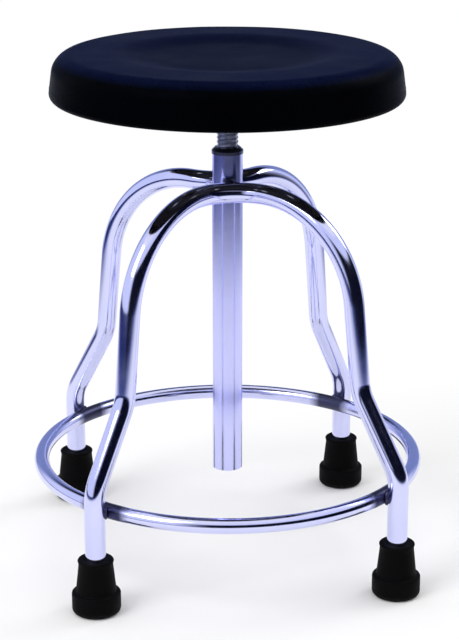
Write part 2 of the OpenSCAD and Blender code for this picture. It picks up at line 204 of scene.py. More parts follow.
def new_finish(name, **constants):
    """A material with a Principled BSDF and constants on its sockets, for a builder of finishes."""
    material = bpy.data.materials.new(name)
    material.use_nodes = True
    tree = material.node_tree
    shader = tree.nodes["Principled BSDF"]
    for socket, value in constants.items():
        shader.inputs[socket.replace("_", " ")].default_value = value
    place = add_node(tree, "ShaderNodeTexCoord").outputs["Object"]
    return material, tree, shader, place


def paint(tree, shader, color, mask, smoothest, roughest):
    """Links a colour, and a roughness between two values, to a material."""
    tree.links.new(color, shader.inputs["Base Color"])
    tree.links.new(stretch(tree, mask, 0, 1, smoothest, roughest), shader.inputs["Roughness"])


def use_group(tree, group, **inputs):
    """A shader group placed in a material, with its own values."""
    node = add_node(tree, "ShaderNodeGroup", node_tree=group)
    for name, value in inputs.items():
        socket = node.inputs[name.replace("_", " ")]
        if isinstance(value, bpy.types.NodeSocket):
            tree.links.new(value, socket)
        else:
            socket.default_value = value
    return node.outputs


def bump(tree, shader, height, distance, strength=1.0):
    """Links a height to a material's normal through a Bump node."""
    inputs = {"Height": height, "Distance": distance, "Strength": strength}
    tree.links.new(add_node(tree, "ShaderNodeBump", inputs).outputs["Normal"], shader.inputs["Normal"])


# Broad uneven patches, as on any finish that was rubbed, handled and wiped.
patches, enter, leave = new_group(
    "Uneven patches", "ShaderNodeTree",
    [("Place", "NodeSocketVector", None), ("Patches per metre", "NodeSocketFloat", 12.0)],
    [("Mask", "NodeSocketFloat")],
)
clouds = add_node(patches, "ShaderNodeTexNoise", {
    "Vector": enter.outputs["Place"],
    "Scale": enter.outputs["Patches per metre"],
    "Detail": 4.0,
    "Roughness": 0.55,
})
patches.links.new(stretch(patches, clouds.outputs[0], 0.32, 0.68), leave.inputs["Mask"])

# The fine pebbled grain that a mould leaves on plastic, foam skin and rubber.
grain, enter, leave = new_group(
    "Moulded grain", "ShaderNodeTree",
    [("Place", "NodeSocketVector", None), ("Grain size", "NodeSocketFloat", 0.0008)],
    [("Height", "NodeSocketFloat")],
)
grains_per_metre = math_node(grain, "DIVIDE", 1.0, enter.outputs["Grain size"])
pebbles = add_node(grain, "ShaderNodeTexVoronoi", {
    "Vector": enter.outputs["Place"], "Scale": grains_per_metre, "Smoothness": 0.6,
}, feature="SMOOTH_F1")
specks = add_node(grain, "ShaderNodeTexNoise", {
    "Vector": enter.outputs["Place"], "Scale": grains_per_metre, "Detail": 2.0,
})
grain_height = math_node(grain, "MULTIPLY_ADD", specks.outputs[0], 0.35, pebbles.outputs["Distance"])
grain.links.new(grain_height, leave.inputs["Height"])

# Dust that settles on faces that look up, in thin uneven drifts.
dust, enter, leave = new_group(
    "Settled dust", "ShaderNodeTree",
    [("Place", "NodeSocketVector", None), ("Amount", "NodeSocketFloat", 0.2)],
    [("Mask", "NodeSocketFloat")],
)
drift = add_node(dust, "ShaderNodeTexNoise", {
    "Vector": enter.outputs["Place"], "Scale": 65.0, "Detail": 6.0, "Roughness": 0.7,
})
drift = stretch(dust, drift.outputs[0], 0.4, 0.75)
drift = math_node(dust, "MULTIPLY", drift, stretch(dust, facing_up(dust), 0.2, 1.0))
dust.links.new(math_node(dust, "MULTIPLY", drift, enter.outputs["Amount"]), leave.inputs["Mask"])


def pad_skin():
    """Black moulded skin, with a painted navy sheen on the faces that look up, painted shade in its
    hollow and in the pits of its grain.
    """
    material, tree, shader, place = new_finish(
        "moulded_skin",
        Specular_IOR_Level=0.006,
        Specular_Tint=(0.3, 0.45, 1.0, 1),
        Sheen_Weight=0.01,
        Sheen_Roughness=0.35,
        Sheen_Tint=(0.1, 0.2, 1.0, 1),
    )
    mask = use_group(tree, patches, Place=place, Patches_per_metre=14.0)["Mask"]
    # Painted shade: the sheen is dimmed on the hollow's floor.
    hollow_shade = stretch(tree, from_axis(tree, place), *HOLLOW_SHADE_REACH, to_low=HOLLOW_SHADE_SHARE, to_high=0.0)
    painted_sheen = blend_color(tree, hollow_shade, blend_color(tree, mask, *PAINTED_SHEEN_SKIN), HOLLOW_SHADE_SKIN)
    # A painted navy sheen on the faces that look up; the sides keep the skin's own black.
    sheen_on_top = stretch(tree, facing_up(tree), *PAINTED_SHEEN_TILT)
    skin = blend_color(tree, sheen_on_top, blend_color(tree, mask, *SKIN_BLACK), painted_sheen)
    lint = use_group(tree, dust, Place=place, Amount=0.012)["Mask"]
    skin = blend_color(tree, lint, skin, LINT)
    pebbled = use_group(tree, grain, Place=place, Grain_size=SKIN_GRAIN)["Height"]
    # Painted shade in the pits of the grain.
    pit_shade = stretch(tree, pebbled, *PEBBLE_EDGE, to_high=PEBBLE_SHADE)
    skin = blend_color(tree, pit_shade, skin, PEBBLE_PIT_SHADE)
    paint(tree, shader, skin, mask, smoothest=0.3, roughest=0.4)
    bump(tree, shader, pebbled, SKIN_GRAIN_DEPTH, strength=0.8)
    return material


def pad_outline():
    """The pad's outline from the top of the board's pocket, round its outside, to its centre."""
    edge = (PAD_R - PAD_EDGE_R, PAD_EDGE_R)
    shoulder = (PAD_R - PAD_SIDE_DRAFT - PAD_SHOULDER_R, PAD_T - PAD_SHOULDER_R)
    run, rise = shoulder[0] - edge[0], shoulder[1] - edge[1]
    # The side is the straight line that touches both rounds, and leans in by this angle.
    lean = atan2(rise, run) - pi / 2 - asin((PAD_SHOULDER_R - PAD_EDGE_R) / hypot(run, rise))
    lean = max(lean, 0.0)
    foot = (edge[0] + PAD_EDGE_R * cos(lean), edge[1] + PAD_EDGE_R * sin(lean))
    head = (shoulder[0] + PAD_SHOULDER_R * cos(lean), shoulder[1] + PAD_SHOULDER_R * sin(lean))
    slope = (head[0] - foot[0]) / (head[1] - foot[1])

    def side(height, proud=0.0):
        return (foot[0] + slope * (height - foot[1]) + proud, height)

    parting = [
        side(PARTING_HEIGHT - PARTING_WIDTH),
        side(PARTING_HEIGHT - PARTING_WIDTH / 2),
        side(PARTING_HEIGHT, PARTING_PROUD),
        side(PARTING_HEIGHT + PARTING_WIDTH / 2),
        side(PARTING_HEIGHT + PARTING_WIDTH),
    ]
    top_run = [(shoulder[0] + (HOLLOW_RIM_R - shoulder[0]) * i / 8, PAD_T) for i in range(1, 8)]
    wall_w = HOLLOW_RIM_R - HOLLOW_FLOOR_R
    wall = [
        (HOLLOW_RIM_R - wall_w * i / 20, PAD_T - HOLLOW_DEPTH * (1 - cos(pi * i / 20)) / 2)
        for i in range(21)
    ]
    floor = [(HOLLOW_FLOOR_R * (1 - i / 10), PAD_T - HOLLOW_DEPTH) for i in range(1, 11)]
    points = [(0, POCKET_DEPTH), (POCKET_R, POCKET_DEPTH)]
    points += [(POCKET_R, POCKET_CHAMFER), (POCKET_R + POCKET_CHAMFER, 0)]
    points += arc(edge, PAD_EDGE_R, -pi / 2, lean, 8)
    points += parting
    points += arc(shoulder, PAD_SHOULDER_R, lean, pi / 2, 16)
    return [(r, z + PAD_LOW.z) for r, z in points + top_run + wall + floor]


pad = lathe("pad", pad_outline(), PAD_STEPS)
# The skin sinks a little in slow waves, but not at its stiff edge.
for vertex in pad.data.vertices:
    swell = noise.noise(vertex.co / SKIN_WAVE_LENGTH)
    inside_edge = hypot(vertex.co.x, vertex.co.y) < PAD_R - STIFF_EDGE
    if inside_edge and vertex.co.z > PAD_LOW.z + POCKET_DEPTH:
        vertex.co.z += SKIN_WAVE * (swell - 1)
pad.data.materials.append(pad_skin())
smooth(pad, 50)
fit(pad, "seat", "pad_skin", "seat_pad")


# Seat board with its inserts. Birch plywood 15 mm thick, stained black, with four zinc-plated
# threaded inserts pressed in from above before the pad was moulded over it.
PLY_GRAIN_STRETCH = (1.0, 14.0, 4.0)
PLY_GRAIN_DEPTH = 0.0003
STAIN = [(0.005, 0.0045, 0.0045, 1), (0.011, 0.008, 0.007, 1)]
HARD_STREAK = (0.022, 0.015, 0.01, 1)
DEEP_STAIN = (0.004, 0.004, 0.005, 1)
ZINC_TONES = [(0.58, 0.57, 0.5, 1), (0.68, 0.68, 0.66, 1)]


def plywood():
    """Black-stained veneer with long grain, where the stain took less in the hard streaks."""
    material, tree, shader, place = new_finish("stained_veneer", Specular_IOR_Level=0.05)
    along = add_node(tree, "ShaderNodeMapping", {
        "Vector": place, "Scale": PLY_GRAIN_STRETCH,
    }).outputs[0]
    figure = add_node(tree, "ShaderNodeTexNoise", {
        "Vector": along, "Scale": 9.0, "Detail": 5.0, "Roughness": 0.6, "Distortion": 0.8,
    }).outputs[0]
    fibre = add_node(tree, "ShaderNodeTexNoise", {
        "Vector": along, "Scale": 70.0, "Detail": 3.0, "Roughness": 0.7,
    }).outputs[0]
    wood = blend_color(tree, stretch(tree, figure, 0.35, 0.7), *STAIN)
    wood = blend_color(tree, stretch(tree, fibre, 0.5, 0.8, to_high=0.35), wood, HARD_STREAK)
    soaked = use_group(tree, patches, Place=place, Patches_per_metre=18.0)["Mask"]
    wood = blend_color(tree, stretch(tree, soaked, 0, 1, to_high=0.3), wood, DEEP_STAIN)
    paint(tree, shader, wood, stretch(tree, fibre, 0.3, 0.7), smoothest=0.55, roughest=0.75)
    bump(tree, shader, fibre, PLY_GRAIN_DEPTH)
    return material


def zinc():
    """Bright zinc plate, a little yellowed and clouded."""
    material, tree, shader, place = new_finish("zinc_plate", Metallic=1.0)
    mask = use_group(tree, patches, Place=place, Patches_per_metre=160.0)["Mask"]
    plate = blend_color(tree, mask, *ZINC_TONES)
    paint(tree, shader, plate, mask, smoothest=0.26, roughest=0.42)
    bump(tree, shader, mask, distance=0.00003)
    return material


def dress(material, *names):
    """Gives a material to CAD nodes that stay as they are."""
    for name in names:
        slots = nodes[name].data.materials
        slots.clear()
        slots.append(material)


ZINC = zinc()
dress(plywood(), "seat_board")
dress(ZINC, "seat_inserts")


# Seat plate and hub. A 3 mm steel plate with a turned boss welded under it, which holds the
# spindle's head. Both are sprayed black after welding, so the paint runs over the weld bead.
HUB_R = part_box("plate_hub")[1].x
PLATE_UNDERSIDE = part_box("seat_plate")[0].z
HUB_BEAD_R = 0.0029
HUB_BEAD_OUT = 0.0016
HUB_BEAD_RIPPLES = 74
HUB_LOOP_POINTS = 180
BEAD_RIPPLE_DEPTH = 0.16
POINTS_PER_RIPPLE = 6
PAINT_TONES = [(0.006, 0.006, 0.007, 1), (0.011, 0.011, 0.012, 1)]


def black_paint():
    """Semi-gloss black spray paint with a little orange peel."""
    material, tree, shader, place = new_finish("black_paint", Specular_IOR_Level=0.15)
    mask = use_group(tree, patches, Place=place, Patches_per_metre=30.0)["Mask"]
    sprayed = blend_color(tree, mask, *PAINT_TONES)
    paint(tree, shader, sprayed, mask, smoothest=0.28, roughest=0.42)
    peel = add_node(tree, "ShaderNodeTexNoise", {"Vector": place, "Scale": 420.0, "Detail": 2.0})
    bump(tree, shader, peel.outputs[0], distance=0.00008)
    return material


def geometry_group(name, inputs):
    """A geometry group that puts out one geometry, and its two end nodes."""
    return new_group(name, "GeometryNodeTree", inputs, [("Geometry", "NodeSocketGeometry")])


def set_material(tree, geometry, material, leave):
    """Ends a geometry tree: real geometry, with its material."""
    real = add_node(tree, "GeometryNodeRealizeInstances", {"Geometry": geometry}).outputs[0]
    dressed = add_node(tree, "GeometryNodeSetMaterial", {"Geometry": real, "Material": material})
    tree.links.new(dressed.outputs[0], leave.inputs["Geometry"])


def grow(name, tree, values, *guides):
    """The plain mesh piece that a geometry tree makes, with its guide objects removed."""
    piece = bpy.data.objects.new(name, bpy.data.meshes.new(name + "_start"))
    scene.collection.objects.link(piece)
    modifier = piece.modifiers.new("shape", "NODES")
    modifier.node_group = tree
    for item in tree.interface.items_tree:
        if item.item_type == "SOCKET" and item.in_out == "INPUT" and item.name in values:
            modifier[item.identifier] = values[item.name]
    scene_now = bpy.context.evaluated_depsgraph_get()
    mesh = bpy.data.meshes.new_from_object(piece.evaluated_get(scene_now), depsgraph=scene_now)
    piece.modifiers.remove(modifier)
    piece.data = mesh
    mesh.name = name
    # A grid from the tree brings an empty slot before its own material.
    while mesh.materials[0] is None:
        mesh.materials.pop(index=0)
    for guide in guides:
        bpy.data.objects.remove(guide)
    return piece


def path_guide(name, paths, closed=True):
    """A curve object of paths, whose points are (x, y, z, bead or bend radius)."""
    curve = bpy.data.curves.new(name, "CURVE")
    curve.dimensions = "3D"
    for path in paths:
        spline = curve.splines.new("POLY")
        spline.points.add(len(path) - 1)
        for point, (x, y, z, radius) in zip(spline.points, path):
            point.co = (x, y, z, 1)
            point.radius = radius
        spline.use_cyclic_u = closed
    guide = bpy.data.objects.new(name, curve)
    scene.collection.objects.link(guide)
    return guide


# A weld bead along closed loops: each ripple is where the welder's puddle stopped and moved on.
weld_bead, enter, leave = geometry_group("Weld bead", [
    ("Path", "NodeSocketObject", None),
    ("Ripples", "NodeSocketFloat", 40.0),
    ("Ripple depth", "NodeSocketFloat", 0.15),
    ("Points", "NodeSocketInt", 200),
    ("Sides", "NodeSocketInt", 16),
    ("Material", "NodeSocketMaterial", None),
])
path = add_node(weld_bead, "GeometryNodeObjectInfo", {"Object": enter.outputs["Path"]})
path = add_node(weld_bead, "GeometryNodeResampleCurve", {
    "Curve": path.outputs["Geometry"], "Count": enter.outputs["Points"],
}).outputs[0]
along_path = add_node(weld_bead, "GeometryNodeSplineParameter").outputs["Factor"]
rippled = math_node(weld_bead, "MULTIPLY", along_path, enter.outputs["Ripples"])
in_ripple = math_node(weld_bead, "FRACT", rippled)
sunk = math_node(weld_bead, "MULTIPLY", in_ripple, enter.outputs["Ripple depth"])
swell = math_node(weld_bead, "SUBTRACT", 1.0, sunk)
bead_radius = add_node(weld_bead, "GeometryNodeInputRadius").outputs[0]
section = add_node(weld_bead, "GeometryNodeCurvePrimitiveCircle", {
    "Resolution": enter.outputs["Sides"], "Radius": 1.0,
}).outputs[0]
bead_radius = math_node(weld_bead, "MULTIPLY", bead_radius, swell)
bead = add_node(weld_bead, "GeometryNodeCurveToMesh", {
    "Curve": path, "Profile Curve": section, "Scale": bead_radius,
}).outputs[0]
set_material(weld_bead, bead, enter.outputs["Material"], leave)


def weld(name, loops, ripples, sides, material):
    """Weld beads along closed loops."""
    guide = path_guide(name + "_path", loops)
    beads = grow(name, weld_bead, {
        "Path": guide,
        "Ripples": float(ripples),
        "Ripple depth": BEAD_RIPPLE_DEPTH,
        "Points": ripples * POINTS_PER_RIPPLE,
        "Sides": sides,
        "Material": material,
    }, guide)
    return smooth(beads, 40)


def hand_laid(a):
    """How a bead laid by hand swells and thins round its loop."""
    return 1 + 0.05 * sin(3 * a) + 0.03 * sin(7 * a + 1)


BLACK_PAINT = black_paint()
dress(BLACK_PAINT, "seat_plate", "plate_hub")
hub_loop = [
    (
        (HUB_R + HUB_BEAD_OUT) * cos(a),
        (HUB_R + HUB_BEAD_OUT) * sin(a),
        PLATE_UNDERSIDE - HUB_BEAD_OUT,
        HUB_BEAD_R * hand_laid(a),
    )
    for a in [2 * pi * i / HUB_LOOP_POINTS for i in range(HUB_LOOP_POINTS)]
]
hub_weld = weld("hub_weld", [hub_loop], HUB_BEAD_RIPPLES, sides=16, material=BLACK_PAINT)
fit(hub_weld, "seat", "black_steel", "hub_weld_ring")


# Plate screws and washers. Four zinc-plated M6 hexagon screws, each with a flat washer, driven
# up through the plate into the inserts. No two heads stopped at the same turn.
SCREW_LOW, SCREW_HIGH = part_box("plate_screws")
WASHER_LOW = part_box("screw_washers")[0]
SCREW_CIRCLE_R = 0.065
SCREW_COUNT = 4
FIRST_SCREW = pi / 4
HEAD_STOPS_SEED = 5
HEAD_FLATS = 0.010
HEAD_H = WASHER_LOW.z - SCREW_LOW.z
HEAD_CROWN_R = 0.93 * HEAD_FLATS / 2
HEAD_SEAT_R = 0.96 * HEAD_FLATS / 2
HEAD_SEAT_H = 0.0004
HEAD_CHAMFER_SLOPE = 0.577
HEAD_DIMPLE = 0.0003
HEAD_STEPS = 48
SHANK_R = 0.003
SHANK_H = SCREW_HIGH.z - WASHER_LOW.z
SHANK_CHAMFER = 0.0008


def screw_guide():
    """One screw, head down, with its head's underside at height 0."""
    shape = bmesh.new()

    def hexagon_r(a):
        return HEAD_FLATS / 2 / cos((a + pi / 6) % (pi / 3) - pi / 6)

    def ring(radius_at, height_at):
        turns = [2 * pi * i / HEAD_STEPS for i in range(HEAD_STEPS)]
        return [
            shape.verts.new((radius_at(a) * cos(a), radius_at(a) * sin(a), height_at(a)))
            for a in turns
        ]

    rings = [
        ring(lambda a: HEAD_CROWN_R, lambda a: -HEAD_H),
        ring(hexagon_r, lambda a: -HEAD_H + (hexagon_r(a) - HEAD_CROWN_R) * HEAD_CHAMFER_SLOPE),
        ring(hexagon_r, lambda a: -HEAD_SEAT_H),
        ring(lambda a: HEAD_SEAT_R, lambda a: 0.0),
        ring(lambda a: SHANK_R, lambda a: 0.0),
        ring(lambda a: SHANK_R, lambda a: SHANK_H - SHANK_CHAMFER),
        ring(lambda a: SHANK_R - SHANK_CHAMFER, lambda a: SHANK_H),
    ]
    for lower, upper in zip(rings, rings[1:]):
        for i in range(HEAD_STEPS):
            j = (i + 1) % HEAD_STEPS
            shape.faces.new((lower[i], lower[j], upper[j], upper[i]))
    dimple = shape.verts.new((0, 0, -HEAD_H + HEAD_DIMPLE))
    for i in range(HEAD_STEPS):
        shape.faces.new((dimple, rings[0][(i + 1) % HEAD_STEPS], rings[0][i]))
    shape.faces.new(rings[-1])
    mesh = bpy.data.meshes.new("screw")
    shape.to_mesh(mesh)
    shape.free()
    mesh.materials.append(ZINC)
    guide = bpy.data.objects.new("screw", mesh)
    scene.collection.objects.link(guide)
    return guide


screw_set, enter, leave = geometry_group("Screws on a circle", [
    ("Screw", "NodeSocketObject", None),
    ("Count", "NodeSocketInt", 4),
    ("Circle radius", "NodeSocketFloat", 0.065),
    ("First angle", "NodeSocketFloat", pi / 4),
    ("Height", "NodeSocketFloat", 0.0),
    ("Seed", "NodeSocketInt", 5),
    ("Material", "NodeSocketMaterial", None),
])
circle = add_node(screw_set, "GeometryNodeMeshCircle", {
    "Vertices": enter.outputs["Count"], "Radius": enter.outputs["Circle radius"],
}).outputs[0]
lift = add_node(screw_set, "ShaderNodeCombineXYZ", {2: enter.outputs["Height"]}).outputs[0]
turn = add_node(screw_set, "ShaderNodeCombineXYZ", {2: enter.outputs["First angle"]}).outputs[0]
circle = add_node(screw_set, "GeometryNodeTransform", {
    "Geometry": circle, "Translation": lift, "Rotation": turn,
}).outputs[0]
stop = add_node(screw_set, "FunctionNodeRandomValue", {
    2: 0.0, 3: 2 * pi, "Seed": enter.outputs["Seed"],
}, data_type="FLOAT").outputs[1]
head_turn = add_node(screw_set, "ShaderNodeCombineXYZ", {2: stop}).outputs[0]
head = add_node(screw_set, "GeometryNodeObjectInfo", {"Object": enter.outputs["Screw"]})
screws = add_node(screw_set, "GeometryNodeInstanceOnPoints", {
    "Points": circle, "Instance": head.outputs["Geometry"], "Rotation": head_turn,
}).outputs[0]
set_material(screw_set, screws, enter.outputs["Material"], leave)

one_screw = screw_guide()
plate_screws = grow("screws_under_the_plate", screw_set, {
    "Screw": one_screw,
    "Count": SCREW_COUNT,
    "Circle radius": SCREW_CIRCLE_R,
    "First angle": FIRST_SCREW,
    "Height": WASHER_LOW.z,
    "Seed": HEAD_STOPS_SEED,
    "Material": ZINC,
}, one_screw)
fit(smooth(plate_screws, 25), "seat", "zinc", "plate_screws")
dress(ZINC, "screw_washers")


# Spindle. A bright steel screw with a two-start trapezoidal thread, so one turn of the seat lifts
# it by two pitches. Below the thread a turned-down journal carries the guide bush.
SPINDLE_LOW, SPINDLE_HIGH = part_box("spindle")
SPINDLE_R = SPINDLE_HIGH.x
THREAD_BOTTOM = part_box("stop_washer")[1].z
THREAD_PITCH = 0.004
THREAD_STARTS = 2
THREAD_DEPTH = 0.0007
THREAD_COLUMNS = 56
ROWS_PER_PITCH = 8
CREST_SHARE = 0.5
SPARE_LEADS = 2
LEADS_BELOW = 1.5
CLOSES_WITHIN = 1e-5
JOURNAL_R = 0.006
JOURNAL_CHAMFER = 0.0006
JOURNAL_NECK = 0.0005
STEEL_TONES = [(0.45, 0.47, 0.58, 1), (0.55, 0.57, 0.7, 1)]
# Painted shade for the thread's roots.
ROOT_SHADE = (0.06, 0.06, 0.07, 1)

screw_thread, enter, leave = geometry_group("Screw thread", [
    ("Outer radius", "NodeSocketFloat", 0.01),
    ("Depth", "NodeSocketFloat", 0.001),
    ("Pitch", "NodeSocketFloat", 0.004),
    ("Starts", "NodeSocketFloat", 2.0),
    ("Bottom", "NodeSocketFloat", 0.0),
    ("Top", "NodeSocketFloat", 0.1),
    ("Columns", "NodeSocketInt", 48),
    ("Rows", "NodeSocketInt", 100),
    ("Rows per pitch", "NodeSocketFloat", 8.0),
    ("Material", "NodeSocketMaterial", None),
])


def step(operation, *values):
    """One step of the thread's sums."""
    return math_node(screw_thread, operation, *values)


# A flat sheet of unit size is wound into the thread. Across, it makes one turn. Its rows climb
# with the turn, a lead in all, and what would pass the bottom or the top is held there.
sheet = add_node(screw_thread, "GeometryNodeMeshGrid", {
    "Size X": 1.0,
    "Size Y": 1.0,
    "Vertices X": step("ADD", enter.outputs["Columns"], 1.0),
    "Vertices Y": step("ADD", enter.outputs["Rows"], 1.0),
}).outputs["Mesh"]
flat = add_node(screw_thread, "ShaderNodeSeparateXYZ", {
    0: add_node(screw_thread, "GeometryNodeInputPosition").outputs[0],
})
turn_share = step("ADD", flat.outputs["X"], 0.5)
row = step("ROUND", step("MULTIPLY", step("ADD", flat.outputs["Y"], 0.5), enter.outputs["Rows"]))
lead = step("MULTIPLY", enter.outputs["Pitch"], enter.outputs["Starts"])
climbed = step("MULTIPLY", lead, turn_share)
pitches_up = step("DIVIDE", row, enter.outputs["Rows per pitch"])
row_rise = step("MULTIPLY", pitches_up, enter.outputs["Pitch"])
started = step("SUBTRACT", enter.outputs["Bottom"], step("MULTIPLY", lead, LEADS_BELOW))
height = step("ADD", step("ADD", started, row_rise), climbed)
height = step("MINIMUM", step("MAXIMUM", height, enter.outputs["Bottom"]), enter.outputs["Top"])
phase = step("DIVIDE", step("SUBTRACT", height, climbed), enter.outputs["Pitch"])
# Half a row is added, so that no row falls on the edge of a crest.
phase = step("ADD", phase, 0.5 / ROWS_PER_PITCH)
in_crest = step("LESS_THAN", step("FRACT", phase), CREST_SHARE)
root_r = step("SUBTRACT", enter.outputs["Outer radius"], enter.outputs["Depth"])
thread_r = step("ADD", root_r, step("MULTIPLY", in_crest, enter.outputs["Depth"]))
# The first and the last row meet on the axis, which closes the ends.
past_start = step("GREATER_THAN", row, 0.5)
before_end = step("LESS_THAN", row, step("SUBTRACT", enter.outputs["Rows"], 0.5))
thread_r = step("MULTIPLY", thread_r, step("MULTIPLY", past_start, before_end))
angle = step("MULTIPLY", turn_share, 2 * pi)
wound = add_node(screw_thread, "ShaderNodeCombineXYZ", {
    0: step("MULTIPLY", thread_r, step("COSINE", angle)),
    1: step("MULTIPLY", thread_r, step("SINE", angle)),
    2: height,
}).outputs[0]
wound = add_node(screw_thread, "GeometryNodeSetPosition", {
    "Geometry": sheet, "Position": wound,
}).outputs[0]
wound = add_node(screw_thread, "GeometryNodeMergeByDistance", {
    "Geometry": wound, "Distance": CLOSES_WITHIN,
}).outputs[0]
set_material(screw_thread, wound, enter.outputs["Material"], leave)


def screw_steel():
    """Bright rolled steel, with painted shade in the thread's roots."""
    material, tree, shader, place = new_finish("rolled_steel", Metallic=1.0)
    mask = use_group(tree, patches, Place=place, Patches_per_metre=110.0)["Mask"]
    out = from_axis(tree, place)
    # Painted shade, darkest in the thread's roots.
    root_shade = stretch(tree, out, SPINDLE_R - THREAD_DEPTH, SPINDLE_R, to_low=0.4, to_high=0.0)
    steel = blend_color(tree, root_shade, blend_color(tree, mask, *STEEL_TONES), ROOT_SHADE)
    paint(tree, shader, steel, mask, smoothest=0.2, roughest=0.3)
    bump(tree, shader, mask, distance=0.00001)
    return material


SCREW_STEEL = screw_steel()
thread_pitches = (SPINDLE_HIGH.z - THREAD_BOTTOM) / THREAD_PITCH + SPARE_LEADS * THREAD_STARTS
spindle_thread = grow("spindle_thread", screw_thread, {
    "Outer radius": SPINDLE_R,
    "Depth": THREAD_DEPTH,
    "Pitch": THREAD_PITCH,
    "Starts": float(THREAD_STARTS),
    "Bottom": THREAD_BOTTOM,
    "Top": SPINDLE_HIGH.z,
    "Columns": THREAD_COLUMNS,
    "Rows": round(thread_pitches) * ROWS_PER_PITCH,
    "Rows per pitch": float(ROWS_PER_PITCH),
    "Material": SCREW_STEEL,
})
fit(smooth(spindle_thread, 25), "seat", "screw_steel", "spindle")

journal = lathe("spindle_journal", [
    (0, SPINDLE_LOW.z),
    (JOURNAL_R - JOURNAL_CHAMFER, SPINDLE_LOW.z),
    (JOURNAL_R, SPINDLE_LOW.z + JOURNAL_CHAMFER),
    (JOURNAL_R, THREAD_BOTTOM - JOURNAL_NECK),
    (JOURNAL_R - JOURNAL_NECK, THREAD_BOTTOM),
    (0, THREAD_BOTTOM),
], steps=64)
journal.data.materials.append(SCREW_STEEL)
fit(smooth(journal), "seat", "screw_steel")


# Spindle's foot. A nylon bush slides in the column and keeps the spindle upright, between the
# stop washer that meets the nut at the top of the travel and a washer held by the end screw.
NYLON_TONES = [(0.72, 0.66, 0.52, 1), (0.82, 0.78, 0.66, 1)]
SCORING_STRETCH = (900.0, 900.0, 20.0)


def nylon():
    """Natural nylon, waxy and faintly scored by sliding in the tube."""
    material, tree, shader, place = new_finish("cast_nylon", Specular_IOR_Level=0.4)
    mask = use_group(tree, patches, Place=place, Patches_per_metre=90.0)["Mask"]
    waxy = blend_color(tree, mask, *NYLON_TONES)
    paint(tree, shader, waxy, mask, smoothest=0.4, roughest=0.55)
    score = add_node(tree, "ShaderNodeMapping", {"Vector": place, "Scale": SCORING_STRETCH})
    lines = add_node(tree, "ShaderNodeTexNoise", {"Vector": score.outputs[0], "Scale": 1.0})
    bump(tree, shader, lines.outputs[0], distance=0.00005)
    return material


dress(nylon(), "guide_bush")
dress(ZINC, "stop_washer", "end_washer", "end_screw")


# Column, nut and hoops. The column is an open steel tube with a steel nut pinned into its upper
# end. Two bent tubes pass it, one in front and one behind, and come down as the four legs.
# All of it is welded up and chromium plated together.
COLUMN_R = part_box("column")[1].x
RING_LOW, RING_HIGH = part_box("foot_ring")
RING_HEIGHT = (RING_HIGH.z + RING_LOW.z) / 2
WELD_GAP = 0.0001
LEG_R = 0.01905 / 2
LEG_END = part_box("foot_washers")[1].z
LEG_LEAN = radians(6)
HOOP_HEIGHT = 0.3615
CROWN_BEND_R = 0.042
CROWN_SWELL = 0.00005
CROWN_RUN = 0.0015
SHOULDER_BEND_R = 0.1
SPLAY_BEND_R = 0.045
SPLAY_TOP = 0.19
SPLAY_ABOVE_RING = 0.02236
BEND_STEPS = 28
TUBE_SIDES = 48
CHROME_TONES = [(0.63, 0.65, 0.95, 1), (0.68, 0.695, 0.99, 1)]
BLUER_TONES = [(0.58, 0.6, 1.0, 1), (0.63, 0.645, 1.04, 1)]
CHROME_DUST = (0.4, 0.4, 0.42, 1)
# A near-black that the plate is darkened towards, by a given share.
DARK_PLATE = (0.012, 0.014, 0.03, 1)
LEAST_DARKENING = 0.85
# Darker, duller plate round given spots, beside the ring's welds to the legs.
DARK_SPOT = (0.012, 0.012, 0.05, 1)
DARK_SPOT_SHARE = 0.93
DARK_SPOT_DULLING = 0.25
DARK_SPOT_REACH = (0.019, 0.029)
SCRATCH_STRETCH = (1.0, 1.0, 0.035)
SCRATCH_DULLING = 0.03
SCRATCH_DEPTH = 0.000002

# Hairline scratches that run with a tube, as wiping leaves on plated metal.
scratches, enter, leave = new_group(
    "Wiping scratches", "ShaderNodeTree",
    [("Place", "NodeSocketVector", None), ("Scratches per metre", "NodeSocketFloat", 900.0)],
    [("Height", "NodeSocketFloat")],
)
lines = add_node(scratches, "ShaderNodeTexNoise", {
    "Vector": vector_node(scratches, "MULTIPLY", enter.outputs["Place"], SCRATCH_STRETCH),
    "Scale": enter.outputs["Scratches per metre"],
    "Detail": 3.0,
    "Roughness": 0.65,
})
scratches.links.new(stretch(scratches, lines.outputs[0], 0.35, 0.75), leave.inputs["Height"])


